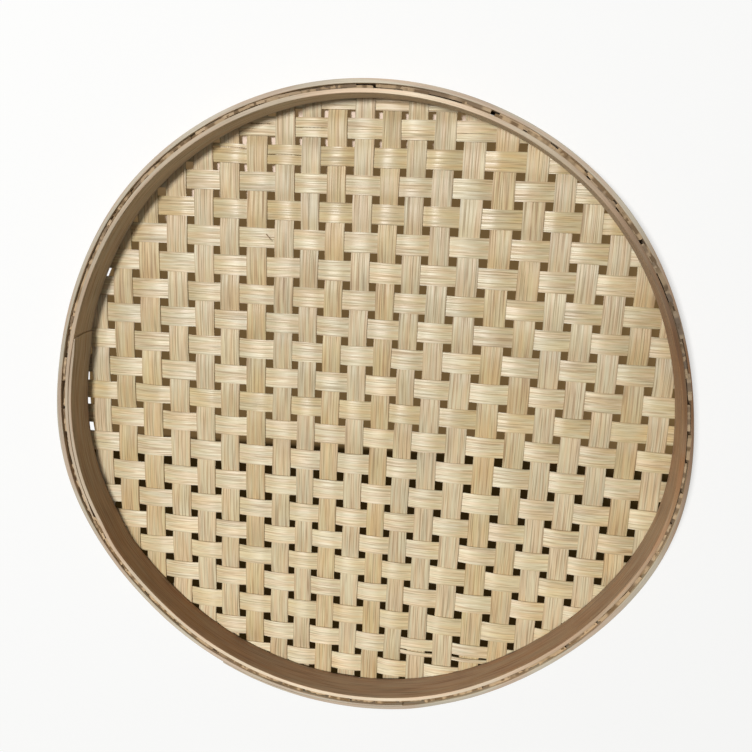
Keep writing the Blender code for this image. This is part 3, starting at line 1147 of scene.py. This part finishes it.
@dataclass(frozen=True)
class GroundLine:
    """A line across the ground, with how it looks on the near and on the far side."""

    slope: float               # how much the line falls to the left
    start: float               # the height of the line's blurred edge along Y
    end: float
    near: str
    far: str


@dataclass
class Studio:
    """The plain pale floor, soft light and the camera at the photograph's angle."""

    floor_size: float = 6.0
    floor_white: str = "FBFBFA"
    floor_glow: float = 0.6    # share of the floor's colour that no shadow takes away
    foot: tuple[float, float] = (0.164, 0.166)           # inside it, none is taken away
    opening: float = 0.1650    # radius of the opening in the floor under the tray
    left_edge: tuple[float, float] = (-0.1435, -0.1425)  # the blurred X left of which it is
    left_opening: float = 0.1596                         # this wide,
    near_edge: tuple[float, float] = (-0.036, -0.034)    # and the Y before which it is at
    near_opening: float = 0.1655                         # least this wide
    ground_reach: float = 0.19
    ground_cells: int = 40
    ground_slope: Vector = Vector((-0.065, 0.15))        # the photographed tray leans a little
    ground_touch: Vector = Vector((-0.098, 0.132))
    ground_heights: tuple[float, float] = (-0.014, -0.0004)
    # The ground's colour is pale where the lamp's light falls through the gaps, and elsewhere a
    # dark sheet that paints deep shade. Its glow is painted shade: brown on the far side,
    # near-black on the near side.
    ground_pale_and_painted_dark: GroundLine = GroundLine(-0.29, 0.129, 0.135, "2A2010", "E8D4C6")
    ground_painted_shade_glow: GroundLine = GroundLine(-0.033, -0.0265, -0.0235, "281D0B", "6A5435")
    camera_place: Vector = Vector((66.62, 110.39, 390.33))     # millimetres
    camera_target: Vector = Vector((6.62, 21.24, 3.2))
    camera_roll: float = 2.35
    lens: float = 36.22
    light_way: Vector = Vector((-0.235, 0.17, 1.0))
    light_distance: float = 2.0
    light_spread: float = 9.0  # degrees across, seen from the tray
    key_share: float = 0.86    # of the light on a level surface
    ambient: float = 0.12

    def place_camera(self) -> None:
        """Set the camera up as the photograph was taken."""
        data = bpy.data.cameras.new("studio_camera")
        data.lens = self.lens
        data.sensor_width = 36.0
        data.clip_start = 0.01
        camera = bpy.data.objects.new("studio_camera", data)
        bpy.context.scene.collection.objects.link(camera)
        back = (self.camera_place - self.camera_target).normalized()
        right = Vector((0.0, 1.0, 0.0)).cross(back).normalized()
        turned = Matrix((right, back.cross(right), back)).transposed().to_4x4()
        camera.matrix_world = (Matrix.Translation(self.camera_place * MM) @ turned
                               @ Matrix.Rotation(math.radians(self.camera_roll), 4, "Z"))
        bpy.context.scene.camera = camera

    def place_lights(self) -> None:
        """Hang one soft lamp up to the left, and fill with an even pale sky."""
        way = self.light_way.normalized()
        data = bpy.data.lights.new("soft_lamp", "AREA")
        data.shape = "DISK"
        data.size = 2.0 * self.light_distance * math.tan(math.radians(self.light_spread) / 2.0)
        data.energy = self.key_share / way.z * math.pi ** 2 * self.light_distance ** 2
        lamp = bpy.data.objects.new("soft_lamp", data)
        lamp.location = way * self.light_distance
        lamp.rotation_mode = "QUATERNION"
        lamp.rotation_quaternion = way.to_track_quat("Z", "Y")
        bpy.context.scene.collection.objects.link(lamp)
        world = bpy.data.worlds.new("pale_sky")
        tree = fresh_tree(world)
        seen = self._seen(tree, "Camera", "Transmission", "Glossy")
        strength = add_node(tree, "ShaderNodeMapRange", {0: seen, 3: self.ambient, 4: 1.0})
        shader = add_node(tree, "ShaderNodeBackground", {"Color": (1.0, 1.0, 1.0, 1.0),
                                                         "Strength": strength.outputs[0]})
        add_node(tree, "ShaderNodeOutputWorld", {"Surface": shader.outputs[0]})
        bpy.context.scene.world = world

    @staticmethod
    def _seen(tree: bpy.types.NodeTree, *rays: str) -> bpy.types.NodeSocket:
        """Tell the rays that see the studio from those that only light the tray.

        Args:
            tree: the nodes to add to.
            rays: the kinds of ray that see it.

        Returns:
            1 for a ray of one of these kinds, otherwise 0.
        """
        path = add_node(tree, "ShaderNodeLightPath").outputs
        seen = path[f"Is {rays[0]} Ray"]
        for ray in rays[1:]:
            seen = add_node(tree, "ShaderNodeMath", {0: seen, 1: path[f"Is {ray} Ray"]},
                            operation="MAXIMUM").outputs[0]
        return seen

    @staticmethod
    def _lay(bm: bmesh.types.BMesh, name: str, material: bpy.types.Material) -> None:
        """Make a piece of the studio from its mesh.

        Args:
            bm: the mesh. It is freed.
            name: the object's name.
            material: its material.
        """
        mesh = bpy.data.meshes.new(name)
        bm.to_mesh(mesh)
        bm.free()
        mesh.materials.append(material)
        laid = bpy.data.objects.new(name, mesh)
        bpy.context.scene.collection.objects.link(laid)

    def lay_floor(self) -> None:
        """Lay a white floor, open below the tray, where the photograph has other ground."""
        bm = bmesh.new()
        bmesh.ops.create_grid(bm, x_segments=1, y_segments=1, size=self.floor_size / 2.0)
        material = bpy.data.materials.new("white_floor_with_an_opening")
        tree = fresh_tree(material)
        where = add_node(tree, "ShaderNodeTexCoord").outputs["Object"]
        parts = add_node(tree, "ShaderNodeSeparateXYZ", {0: where}).outputs
        away = add_node(tree, "ShaderNodeVectorMath", {0: where},
                        operation="LENGTH").outputs["Value"]
        ranges = (
            # what reads, from and to which values, and what it gives at these two
            (parts["X"], *self.left_edge, self.left_opening, self.opening),
            (parts["Y"], *self.near_edge, self.near_opening, 0.0),
            (away, *self.foot, 1.0, self.floor_glow),
        )
        left, near, inside = (add_node(tree, "ShaderNodeMapRange",
                                       dict(enumerate(values))).outputs[0] for values in ranges)
        radius = add_node(tree, "ShaderNodeMath", {0: near, 1: left}, operation="MAXIMUM")
        under = add_node(tree, "ShaderNodeMath", {0: away, 1: radius.outputs[0]},
                         operation="LESS_THAN")
        white = hex_colour(self.floor_white)
        plain = add_node(tree, "ShaderNodeBsdfDiffuse", {"Color": white})
        glow = add_node(tree, "ShaderNodeEmission", {"Color": white, "Strength": 1.0})
        share = add_node(tree, "ShaderNodeMath", {0: self._seen(tree, "Camera", "Glossy"),
                                                  1: inside}, operation="MULTIPLY")
        mixed = add_node(tree, "ShaderNodeMixShader", {0: share.outputs[0], 1: plain.outputs[0],
                                                       2: glow.outputs[0]})
        opening = add_node(tree, "ShaderNodeBsdfTransparent")
        cut = add_node(tree, "ShaderNodeMixShader", {0: under.outputs[0], 1: mixed.outputs[0],
                                                     2: opening.outputs[0]})
        add_node(tree, "ShaderNodeOutputMaterial", {"Surface": cut.outputs[0]})
        self._lay(bm, "studio_floor", material)

    def lay_ground(self) -> None:
        """Lay the ground that shows through the gaps, sinking away from the tray's far left, with
        painted shade.
        """
        bm = bmesh.new()
        bmesh.ops.create_grid(bm, x_segments=self.ground_cells, y_segments=self.ground_cells,
                              size=self.ground_reach)
        lowest, highest = self.ground_heights
        for vertex in bm.verts:
            fall = self.ground_slope.dot(vertex.co.xy - self.ground_touch)
            vertex.co.z = max(lowest, min(highest, fall))
        material = bpy.data.materials.new("pale_ground_and_painted_shade")
        tree = fresh_tree(material)
        where = add_node(tree, "ShaderNodeTexCoord").outputs["Object"]
        parts = add_node(tree, "ShaderNodeSeparateXYZ", {0: where}).outputs
        # The first line parts pale ground from the dark sheet of painted shade; the second parts
        # the glow of painted shade, brown far and near-black near
        ground_and_shade_tints = []
        for line in (self.ground_pale_and_painted_dark, self.ground_painted_shade_glow):
            beyond = add_node(tree, "ShaderNodeMath", {0: parts["X"], 1: line.slope,
                                                       2: parts["Y"]}, operation="MULTIPLY_ADD")
            far = add_node(tree, "ShaderNodeMapRange", {0: beyond.outputs[0], 1: line.start,
                                                        2: line.end})
            ground_and_shade_tints.append(add_node(tree, "ShaderNodeMix", {0: far.outputs[0],
                                                          6: hex_colour(line.near),
                                                          7: hex_colour(line.far)},
                                  data_type="RGBA").outputs[2])
        plain = add_node(tree, "ShaderNodeBsdfDiffuse", {"Color": ground_and_shade_tints[0]})
        # the glow is painted shade under the tray
        glow = add_node(tree, "ShaderNodeEmission", {"Color": ground_and_shade_tints[1], "Strength": 1.0})
        both = add_node(tree, "ShaderNodeAddShader", {0: plain.outputs[0], 1: glow.outputs[0]})
        # light that bounces off the ground finds only the dark sheet of painted shade
        painted_dark_for_bounces = add_node(tree, "ShaderNodeBsdfDiffuse",
                        {"Color": hex_colour(self.ground_pale_and_painted_dark.near)})
        chosen = add_node(tree, "ShaderNodeMixShader", {0: self._seen(tree, "Camera"),
                                                        1: painted_dark_for_bounces.outputs[0], 2: both.outputs[0]})
        add_node(tree, "ShaderNodeOutputMaterial", {"Surface": chosen.outputs[0]})
        self._lay(bm, "studio_ground", material)

    def set_up(self) -> None:
        """Lay the floor, hang the lights and place the camera."""
        self.place_camera()
        self.place_lights()
        self.lay_floor()
        self.lay_ground()
        bpy.context.scene.view_settings.view_transform = "Standard"


def main() -> None:
    """Build the tray and its studio."""
    logging.basicConfig(level=logging.INFO, format="%(name)s: %(message)s")
    Studio().set_up()
    mat = Mat()
    mat.lay()
    mat.weave()
    mat.dress()
    Hoop(node="inner_hoop", radius=PLAN.hoop_radius, bottom=PLAN.inner_bottom, start=205.0,
         lap=0.1047, side=LapSide.INSIDE, finish=INNER_HOOP_FINISH, seed=7,
         wall_shades=Lobes((255, 130, -0.20), (300, 34, 0.10), (100, 42, 0.06),
                           (344, 30, -0.04), (24, 34, -0.12), (0, 14, 0.10), (228, 44, 0.05)),
         wall_browned=Lobes((265, 125, 0.55), (14, 44, 0.72), (180, 50, 0.12),
                            (322, 50, 0.30), (228, 44, 0.26)),
         # painted sheen: the lighter top lobes at 268 and 84 degrees
         top_shades_and_sheen=Lobes((268, 60, 0.42), (84, 22, 0.36), (20, 46, -0.66), (155, 75, -0.26),
                          (60, 18, -0.14), (330, 30, -0.02), (112, 24, -0.10)),
         top_browned=Lobes((12, 50, 0.85), (328, 46, 0.40))).dress()
    Hoop(node="outer_hoop", radius=PLAN.outer_radius, bottom=0.0, start=281.0,
         lap=0.1076, side=LapSide.OUTSIDE, finish=OUTER_HOOP_FINISH, seed=8,
         lap_tip=0.0005, lap_space=0.0001,
         thicker=Lobes((15, 30, -0.0012), (332, 20, 0.0006), (190, 18, 0.0006)),
         dropped=Lobes((14, 36, 0.0022)),
         wall_browned=Lobes((16, 42, 0.5)),
         # painted sheen: the lighter top lobes
         top_shades_and_sheen=Lobes((8, 38, -0.30), (175, 24, -0.12), (236, 40, 0.18), (90, 14, 0.20),
                          (312, 20, 0.12)),
         top_browned=Lobes((8, 42, 0.90))).dress()


if __name__ == "__main__":
    main()
